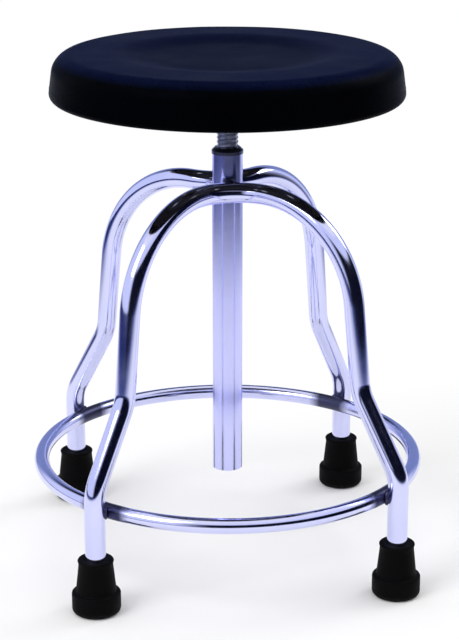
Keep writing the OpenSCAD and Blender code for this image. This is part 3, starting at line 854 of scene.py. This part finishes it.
def chrome(name, dullest, brightest, tones=CHROME_TONES, wear=1.0, darkening=0.0, dark_at=()):
    """Chromium plate, a little blue, between two roughnesses, darkened all over by a given share and
    darker round given spots.
    """
    material, tree, shader, place = new_finish(name, Metallic=1.0)
    mask = use_group(tree, patches, Place=place, Patches_per_metre=26.0)["Mask"]
    wiped = use_group(tree, scratches, Place=place, Scratches_per_metre=900.0)["Height"]
    settled = use_group(tree, dust, Place=place, Amount=0.1)["Mask"]
    plate = blend_color(tree, settled, blend_color(tree, mask, *tones), CHROME_DUST)
    if darkening:
        darkening_mask = stretch(tree, mask, 0, 1, darkening, darkening * LEAST_DARKENING)
        plate = blend_color(tree, darkening_mask, plate, DARK_PLATE)
    rough = stretch(tree, mask, 0, 1, brightest, dullest)
    rough = math_node(tree, "MULTIPLY_ADD", wiped, SCRATCH_DULLING * wear, rough)
    # The plate is darker and duller near each given spot.
    for spot in dark_at:
        away = vector_node(tree, "DISTANCE", place, spot, output="Value")
        dark_spot = stretch(tree, away, *DARK_SPOT_REACH, to_low=DARK_SPOT_SHARE, to_high=0.0)
        plate = blend_color(tree, dark_spot, plate, DARK_SPOT)
        rough = math_node(tree, "MULTIPLY_ADD", dark_spot, DARK_SPOT_DULLING, rough)
    tree.links.new(plate, shader.inputs["Base Color"])
    tree.links.new(rough, shader.inputs["Roughness"])
    bump(tree, shader, wiped, SCRATCH_DEPTH * wear)
    return material


column_chrome = chrome("column_chrome", dullest=0.22, brightest=0.15, tones=BLUER_TONES, wear=0.7)
dress(column_chrome, "column", "nut_pins")
# The nut's plate is darkened most of the way to near-black all over.
dress(chrome("nut_chrome", dullest=0.32, brightest=0.24, darkening=0.9), "spindle_nut")

# A tube bent from straight runs: each corner of its path is rounded by that corner's radius.
bent_tube, enter, leave = geometry_group("Bent tube", [
    ("Path", "NodeSocketObject", None),
    ("Tube radius", "NodeSocketFloat", 0.01),
    ("Sides", "NodeSocketInt", 40),
    ("Points in a bend", "NodeSocketInt", 24),
    ("Material", "NodeSocketMaterial", None),
])
path = add_node(bent_tube, "GeometryNodeObjectInfo", {"Object": enter.outputs["Path"]})
path = add_node(bent_tube, "GeometryNodeFilletCurve", {
    "Curve": path.outputs["Geometry"],
    "Radius": add_node(bent_tube, "GeometryNodeInputRadius").outputs[0],
    "Count": enter.outputs["Points in a bend"],
}, mode="POLY").outputs[0]
section = add_node(bent_tube, "GeometryNodeCurvePrimitiveCircle", {
    "Resolution": enter.outputs["Sides"], "Radius": enter.outputs["Tube radius"],
}).outputs[0]
tube = add_node(bent_tube, "GeometryNodeCurveToMesh", {
    "Curve": path, "Profile Curve": section, "Scale": 1.0, "Fill Caps": True,
}).outputs[0]
set_material(bent_tube, tube, enter.outputs["Material"], leave)


def hoop_corners(front):
    """The corners of a hoop's path and their bend radii, from foot to foot."""
    sign = 1 if front else -1
    # The crown bends round a point beyond the column, and a leg runs on straight from its bend.
    crown_out = COLUMN_R + WELD_GAP + LEG_R + CROWN_SWELL + CROWN_BEND_R
    leg_side = (RING_HIGH.x + WELD_GAP + LEG_R) / sqrt(2)
    leg_away = hypot(leg_side, leg_side - crown_out)
    crown_turn = atan2(leg_side, leg_side - crown_out) - asin(CROWN_BEND_R / leg_away)
    leg_along = sqrt(leg_away ** 2 - CROWN_BEND_R ** 2)
    # Between its shoulder and its splay a leg leans out a little.
    lean_top = HOOP_HEIGHT - SHOULDER_BEND_R * (1 - sin(LEG_LEAN))
    lean_start = CROWN_RUN + SHOULDER_BEND_R * cos(LEG_LEAN)
    splay_along = lean_start + (lean_top - SPLAY_TOP) * tan(LEG_LEAN)
    shoulder_along = splay_along - (HOOP_HEIGHT - SPLAY_TOP) * tan(LEG_LEAN)
    bends = [
        (leg_along, LEG_END, 0.0),
        (leg_along, RING_HEIGHT + SPLAY_ABOVE_RING, SPLAY_BEND_R),
        (splay_along, SPLAY_TOP, SPLAY_BEND_R),
        (shoulder_along, HOOP_HEIGHT, SHOULDER_BEND_R),
    ]

    def corner(side, along, height, bend_r):
        x = side * (CROWN_BEND_R * cos(crown_turn) + along * sin(crown_turn))
        y = -crown_out + CROWN_BEND_R * sin(crown_turn) - along * cos(crown_turn)
        return (sign * x, sign * y, height, bend_r)

    one_leg = [corner(-1, *bend) for bend in bends]
    other_leg = [corner(1, *bend) for bend in reversed(bends)]
    crown_y = CROWN_BEND_R / sin(crown_turn) - crown_out
    return one_leg + [(0, sign * crown_y, HOOP_HEIGHT, CROWN_BEND_R)] + other_leg


HOOP_CHROME = chrome("hoop_chrome", dullest=0.13, brightest=0.07, wear=0.4)
for hoop_name, is_front in (("front", True), ("rear", False)):
    hoop_guide = path_guide("hoop_path", [hoop_corners(is_front)], closed=False)
    hoop = grow(hoop_name + "_hoop_tube", bent_tube, {
        "Path": hoop_guide,
        "Tube radius": LEG_R,
        "Sides": TUBE_SIDES,
        "Points in a bend": BEND_STEPS,
        "Material": HOOP_CHROME,
    }, hoop_guide)
    fit(smooth(hoop, 60), "frame", "chrome", hoop_name + "_hoop")

# Welds between the column and the hoops, one loop round each place where a hoop touches it.
CROWN_OUTER_R = CROWN_BEND_R + LEG_R
HOOP_LOOP_R = 0.0072
LOOP_POINTS = 90
WELD_ROOT = 0.001
WELD_TONES = [(0.02, 0.02, 0.05, 1), (0.09, 0.09, 0.17, 1)]


def recede(radius, off):
    """How far a round bar's surface falls back at a distance off its nearest line."""
    return radius - sqrt(radius * radius - off * off)


def weld_loop(touch, out, loop_r, upright_r, level_r, level_bend_r=None):
    """A loop of weld where a level bar meets an upright one, which lies on the side of out."""
    side = Vector((-out.y, out.x, 0))
    loop = []
    for i in range(LOOP_POINTS):
        a = 2 * pi * i / LOOP_POINTS
        off, up = loop_r * cos(a), loop_r * sin(a)
        to_upright = recede(upright_r, off)
        to_level = recede(level_r, up) + (recede(level_bend_r, off) if level_bend_r else 0)
        centre = touch + side * off + out * (to_upright - to_level) / 2 + Vector((0, 0, up))
        loop.append((*centre, (to_upright + to_level) / 2 + WELD_ROOT))
    return loop


def weld_metal():
    """Weld metal under the plating: dull, dark and a little sooty."""
    material, tree, shader, place = new_finish("weld_metal", Metallic=1.0)
    mask = use_group(tree, patches, Place=place, Patches_per_metre=300.0)["Mask"]
    metal = blend_color(tree, mask, *WELD_TONES)
    paint(tree, shader, metal, mask, smoothest=0.28, roughest=0.5)
    bump(tree, shader, mask, distance=0.0001)
    return material


WELD_METAL = weld_metal()
hoop_loops = [
    weld_loop(Vector((0, side * COLUMN_R, HOOP_HEIGHT)), Vector((0, -side, 0)), HOOP_LOOP_R,
              COLUMN_R, LEG_R, CROWN_OUTER_R)
    for side in (-1, 1)
]
hoop_weld_beads = weld("hoop_weld_beads", hoop_loops, ripples=28, sides=14, material=WELD_METAL)
fit(hoop_weld_beads, "frame", "chrome", "hoop_welds")


# Foot ring. Round steel bar rolled to a ring that stands inside the legs, and welded to each of
# them. The plating is darker and duller beside those welds.
RING_BAR_R = (RING_HIGH.z - RING_LOW.z) / 2
RING_R = RING_HIGH.x - RING_BAR_R
RING_STEPS = 240
BAR_SIDES = 48
RING_LOOP_R = 0.0056
LEG_TURNS = [-135, -45, 45, 135]

leg_ways = [Vector((cos(radians(a)), sin(radians(a)), 0)) for a in LEG_TURNS]
ring_touches = [way * (RING_R + RING_BAR_R) + Vector((0, 0, RING_HEIGHT)) for way in leg_ways]
last_side = BAR_SIDES - 1
bar_outline = arc((RING_R, RING_HEIGHT), RING_BAR_R, 0, 2 * pi * last_side / BAR_SIDES, last_side)
ring = lathe("ring", bar_outline, RING_STEPS)
ring_chrome = chrome("ring_chrome", dullest=0.15, brightest=0.09, dark_at=ring_touches)
ring.data.materials.append(ring_chrome)
fit(smooth(ring, 60), "frame", "chrome", "foot_ring")
ring_loops = [
    weld_loop(touch, way, RING_LOOP_R, LEG_R, RING_BAR_R) for touch, way in zip(ring_touches, leg_ways)
]
ring_weld_beads = weld("ring_weld_beads", ring_loops, ripples=22, sides=14, material=WELD_METAL)
fit(ring_weld_beads, "frame", "chrome", "ring_welds")


# Rubber feet. Black moulded ferrules pushed over the legs' ends, with a wide base, a tapered
# sleeve and rings cut in the sole for grip. A steel disc in each keeps the tube off the rubber.
FOOT_BASE_H = 0.0205
FOOT_EDGE_R = 0.005
SLEEVE_BASE_R = 0.0185
SLEEVE_TOP_R = 0.016
SLEEVE_LIP_R = 0.0016
SLEEVE_NECK_H = 0.005
LIP_PROUD = 0.0006
LIP_UNDERCUT = (0.0001, 0.0022)
BORE_PLAY = 0.00005
BORE_CHAMFER = 0.0006
FOOT_BORE_R = LEG_R + BORE_PLAY
FOOT_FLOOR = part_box("foot_washers")[0].z
GROOVES_AT = (0.006, 0.0095, 0.013)
GROOVE_W = 0.0015
GROOVE_SLOPE = 0.0003
GROOVE_DEPTH = 0.0008
BASE_SHOULDER_R = 0.0022
FOOT_STEPS = 96
RUBBER_TONES = [(0.0006, 0.0006, 0.0008, 1), (0.0013, 0.0013, 0.0016, 1)]
RUBBER_DUST = (0.16, 0.15, 0.14, 1)
SCUFFED_RUBBER = (0.03, 0.029, 0.028, 1)
SCUFF_SHARE = 0.6
SCUFF_HEIGHT = (0.001, 0.006)


def rubber():
    """Matt black rubber, grey with dust on what looks up and scuffed where it meets the floor."""
    material, tree, shader, place = new_finish("foot_rubber", Specular_IOR_Level=0.06)
    mask = use_group(tree, patches, Place=place, Patches_per_metre=60.0)["Mask"]
    settled = use_group(tree, dust, Place=place, Amount=0.012)["Mask"]
    black = blend_color(tree, settled, blend_color(tree, mask, *RUBBER_TONES), RUBBER_DUST)
    low_down = stretch(tree, along_z(tree, place), *SCUFF_HEIGHT, to_low=SCUFF_SHARE, to_high=0.0)
    rubbed = use_group(tree, patches, Place=place, Patches_per_metre=420.0)["Mask"]
    scuffed = math_node(tree, "MULTIPLY", low_down, rubbed)
    black = blend_color(tree, scuffed, black, SCUFFED_RUBBER)
    paint(tree, shader, black, mask, smoothest=0.55, roughest=0.72)
    pebbled = use_group(tree, grain, Place=place, Grain_size=0.0006)["Height"]
    bump(tree, shader, pebbled, distance=0.00012, strength=0.8)
    return material


def foot_outline(base_r, height):
    """The foot's outline from the centre of its sole, round its outside, down into its bore."""
    points = [(0, 0)]
    for start in GROOVES_AT:
        end = start + GROOVE_W
        points += [(start, 0), (start + GROOVE_SLOPE, GROOVE_DEPTH)]
        points += [(end - GROOVE_SLOPE, GROOVE_DEPTH), (end, 0)]
    points += arc((base_r - FOOT_EDGE_R, FOOT_EDGE_R), FOOT_EDGE_R, -pi / 2, 0, 8)
    shoulder = (base_r - BASE_SHOULDER_R, FOOT_BASE_H - BASE_SHOULDER_R)
    points += arc(shoulder, BASE_SHOULDER_R, 0, pi / 2, 6)
    fillet_r = base_r - SLEEVE_BASE_R - BASE_SHOULDER_R
    points += arc((SLEEVE_BASE_R + fillet_r, FOOT_BASE_H + fillet_r), fillet_r, -pi / 2, -pi, 6)[1:]
    lip = (SLEEVE_TOP_R + LIP_PROUD - SLEEVE_LIP_R, height - SLEEVE_LIP_R)
    points.append((SLEEVE_TOP_R, lip[1] - SLEEVE_NECK_H))
    points.append((SLEEVE_TOP_R - LIP_UNDERCUT[0], lip[1] - LIP_UNDERCUT[1]))
    points += arc(lip, SLEEVE_LIP_R, 0, pi / 2, 6)
    points += [(FOOT_BORE_R, height - BORE_CHAMFER), (FOOT_BORE_R, FOOT_FLOOR), (0, FOOT_FLOOR)]
    return points


RUBBER = rubber()
for corner in ("front_left", "front_right", "rear_left", "rear_right"):
    low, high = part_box("foot_" + corner)
    middle = ((low.x + high.x) / 2, (low.y + high.y) / 2, low.z)
    outline = foot_outline((high.x - low.x) / 2, high.z)
    foot = lathe("ferrule_" + corner, outline, FOOT_STEPS, middle)
    foot.data.materials.append(RUBBER)
    fit(smooth(foot, 35), "frame", "rubber", "foot_" + corner)
dress(ZINC, "foot_washers")


# Studio. A pale sheet on the floor that runs out to white, a white surround, two soft lamps,
# and cloths past the sheet and round the set, which show only as bands in the plating: black in
# front and to the right, blue-grey behind, dim blue on the floor to the left.
FLOOR_R = 14.0
FLOOR_FADE = (0.4, 0.9)
SHEET_EDGE = (0.85, 1.35)
BLUE_EDGE = (1.2, 1.7)
CLOTH_R = 5.0
CLOTH_LIFT = 0.003
CURTAIN_TOP = 6.5
STUDIO_STEPS = 96
REAR_BAND = (2.6, 3.6)
BLACK_BAND = (2.9, 3.5)
FLOOR_COLOR = (0.93, 0.93, 0.93, 1)
BLACK_CLOTH = (0.003, 0.004, 0.012, 1)
BLUE_CLOTH = (0.02, 0.03, 0.12, 1)
EDGE_CLOTH = (0.09, 0.13, 0.35, 1)
GREY_CLOTH = (0.25, 0.31, 0.54, 1)
PALE_CLOTH = (0.8, 0.84, 1.0, 1)
BLACK_SIDE = (-52.0, 67.0)
LEFT_SIDE = (-165.0, 60.0)
REAR_SIDE = (82.0, 45.0)
SIDE_BLUR = 9.0
SURROUND_LEVEL = 0.86
LAMP_AIM = (0, 0, 0.25)


def stage_disc(name, radius, height, material):
    """A flat disc that belongs to the studio."""
    disc = lathe(name, [(radius, height), (0, height)], STUDIO_STEPS, closed=False)
    disc.data.materials.append(material)
    return disc


def stage_material(name):
    """An empty material for a studio surface, with its output node."""
    material = bpy.data.materials.new(name)
    material.use_nodes = True
    tree = material.node_tree
    tree.nodes.clear()
    return material, tree, tree.nodes.new("ShaderNodeOutputMaterial")


def studio_place(tree):
    """A point of a studio surface."""
    return add_node(tree, "ShaderNodeTexCoord").outputs["Object"]


def on_side(tree, side):
    """A soft mask of the side of the studio that is given as middle and half width, in degrees."""
    middle, half = radians(side[0]), side[1]
    way = vector_node(tree, "NORMALIZE", on_plan(tree, studio_place(tree)))
    towards = (cos(middle), sin(middle), 0)
    near = vector_node(tree, "DOT_PRODUCT", way, towards, output="Value")
    return stretch(tree, near, cos(radians(half + SIDE_BLUR)), cos(radians(half - SIDE_BLUR)))


def floor_material():
    """Pale floor that keeps the shadow near the stool and runs out to plain white."""
    material, tree, leave = stage_material("pale_floor")
    lit = add_node(tree, "ShaderNodeBsdfDiffuse", {"Color": FLOOR_COLOR}).outputs[0]
    white = add_node(tree, "ShaderNodeEmission", {"Strength": 1.0}).outputs[0]
    far = stretch(tree, from_axis(tree, studio_place(tree)), *FLOOR_FADE)
    mixed = add_node(tree, "ShaderNodeMixShader", {0: far, 1: lit, 2: white}).outputs[0]
    tree.links.new(mixed, leave.inputs["Surface"])
    return material


def floor_cloth_material():
    """The cloth past the sheet: black in front and to the right, dim blue to the left."""
    material, tree, leave = stage_material("floor_cloth")
    color = blend_color(tree, on_side(tree, LEFT_SIDE), PALE_CLOTH, BLUE_CLOTH)
    color = blend_color(tree, on_side(tree, BLACK_SIDE), color, BLACK_CLOTH)
    out = from_axis(tree, studio_place(tree))
    color = blend_color(tree, stretch(tree, out, *BLUE_EDGE), EDGE_CLOTH, color)
    cloth = add_node(tree, "ShaderNodeEmission", {"Color": color, "Strength": 1.0}).outputs[0]
    clear = add_node(tree, "ShaderNodeBsdfTransparent").outputs[0]
    started = stretch(tree, out, *SHEET_EDGE)
    mixed = add_node(tree, "ShaderNodeMixShader", {0: started, 1: clear, 2: cloth}).outputs[0]
    tree.links.new(mixed, leave.inputs["Surface"])
    return material


def curtain_material():
    """The cloth round the set: pale, with a black side and a blue-grey one that darkens upwards."""
    material, tree, leave = stage_material("curtain")
    height = along_z(tree, studio_place(tree))
    rear = blend_color(tree, stretch(tree, height, *REAR_BAND), GREY_CLOTH, BLACK_CLOTH)
    color = blend_color(tree, on_side(tree, REAR_SIDE), PALE_CLOTH, rear)
    low = stretch(tree, height, *BLACK_BAND, to_low=1.0, to_high=0.0)
    black = math_node(tree, "MULTIPLY", on_side(tree, BLACK_SIDE), low)
    color = blend_color(tree, black, color, BLACK_CLOTH)
    cloth = add_node(tree, "ShaderNodeEmission", {"Color": color, "Strength": 1.0}).outputs[0]
    tree.links.new(cloth, leave.inputs["Surface"])
    return material


def only_reflected(piece):
    """Lets a cloth show in the plating and nowhere else."""
    piece.visible_camera = False
    piece.visible_diffuse = False
    piece.visible_shadow = False
    piece.visible_transmission = False
    return piece


stage_disc("floor", FLOOR_R, 0.0, floor_material())
only_reflected(stage_disc("floor_cloth", CLOTH_R, CLOTH_LIFT, floor_cloth_material()))
curtain = lathe("curtain", [(CLOTH_R, 0.0), (CLOTH_R, CURTAIN_TOP)], STUDIO_STEPS, closed=False)
curtain.data.materials.append(curtain_material())
only_reflected(curtain)

world = bpy.data.worlds.new("surround")
scene.world = world
world.use_nodes = True
sky = world.node_tree
sky.nodes.clear()
rays = add_node(sky, "ShaderNodeLightPath").outputs
seen = math_node(sky, "MAXIMUM", rays["Is Camera Ray"], rays["Is Glossy Ray"])
seen = math_node(sky, "MAXIMUM", seen, rays["Is Transmission Ray"])
level = stretch(sky, seen, 0, 1, SURROUND_LEVEL, 1.0)
surround = add_node(sky, "ShaderNodeBackground", {"Color": (1, 1, 1, 1), "Strength": level})
sky.links.new(surround.outputs[0], add_node(sky, "ShaderNodeOutputWorld").inputs["Surface"])


def soft_lamp(name, size, power, place, aim):
    """A square softbox that looks at a point."""
    light = bpy.data.lights.new(name, "AREA")
    light.shape = "SQUARE"
    light.size = size
    light.energy = power
    lamp = bpy.data.objects.new(name, light)
    lamp.location = place
    lamp.rotation_euler = (Vector(aim) - Vector(place)).to_track_quat("-Z", "Y").to_euler()
    scene.collection.objects.link(lamp)


soft_lamp("left_softbox", 1.4, 32.0, (-1.9, -1.3, 2.3), LAMP_AIM)
soft_lamp("right_softbox", 1.2, 16.0, (2.1, 0.9, 2.0), LAMP_AIM)


# Camera. It stands a little to the left of the front and looks down on the stool, at the
# photograph's angle and distance.
CAMERA_PLACE = (-0.2458, -1.8375, 0.8122)
CAMERA_YAW = 0.134
CAMERA_PITCH = 0.30415
CAMERA_LENS = 114.1

lens = bpy.data.cameras.new("camera")
lens.lens = CAMERA_LENS
lens.sensor_width = 36.0
lens.clip_start = 0.01
camera = bpy.data.objects.new("camera", lens)
camera.location = CAMERA_PLACE
level_way = Vector((sin(CAMERA_YAW), cos(CAMERA_YAW), 0))
ahead = level_way * cos(CAMERA_PITCH) + Vector((0, 0, -sin(CAMERA_PITCH)))
camera.rotation_euler = ahead.to_track_quat("-Z", "Y").to_euler()
scene.collection.objects.link(camera)
scene.camera = camera
scene.view_settings.view_transform = "Standard"
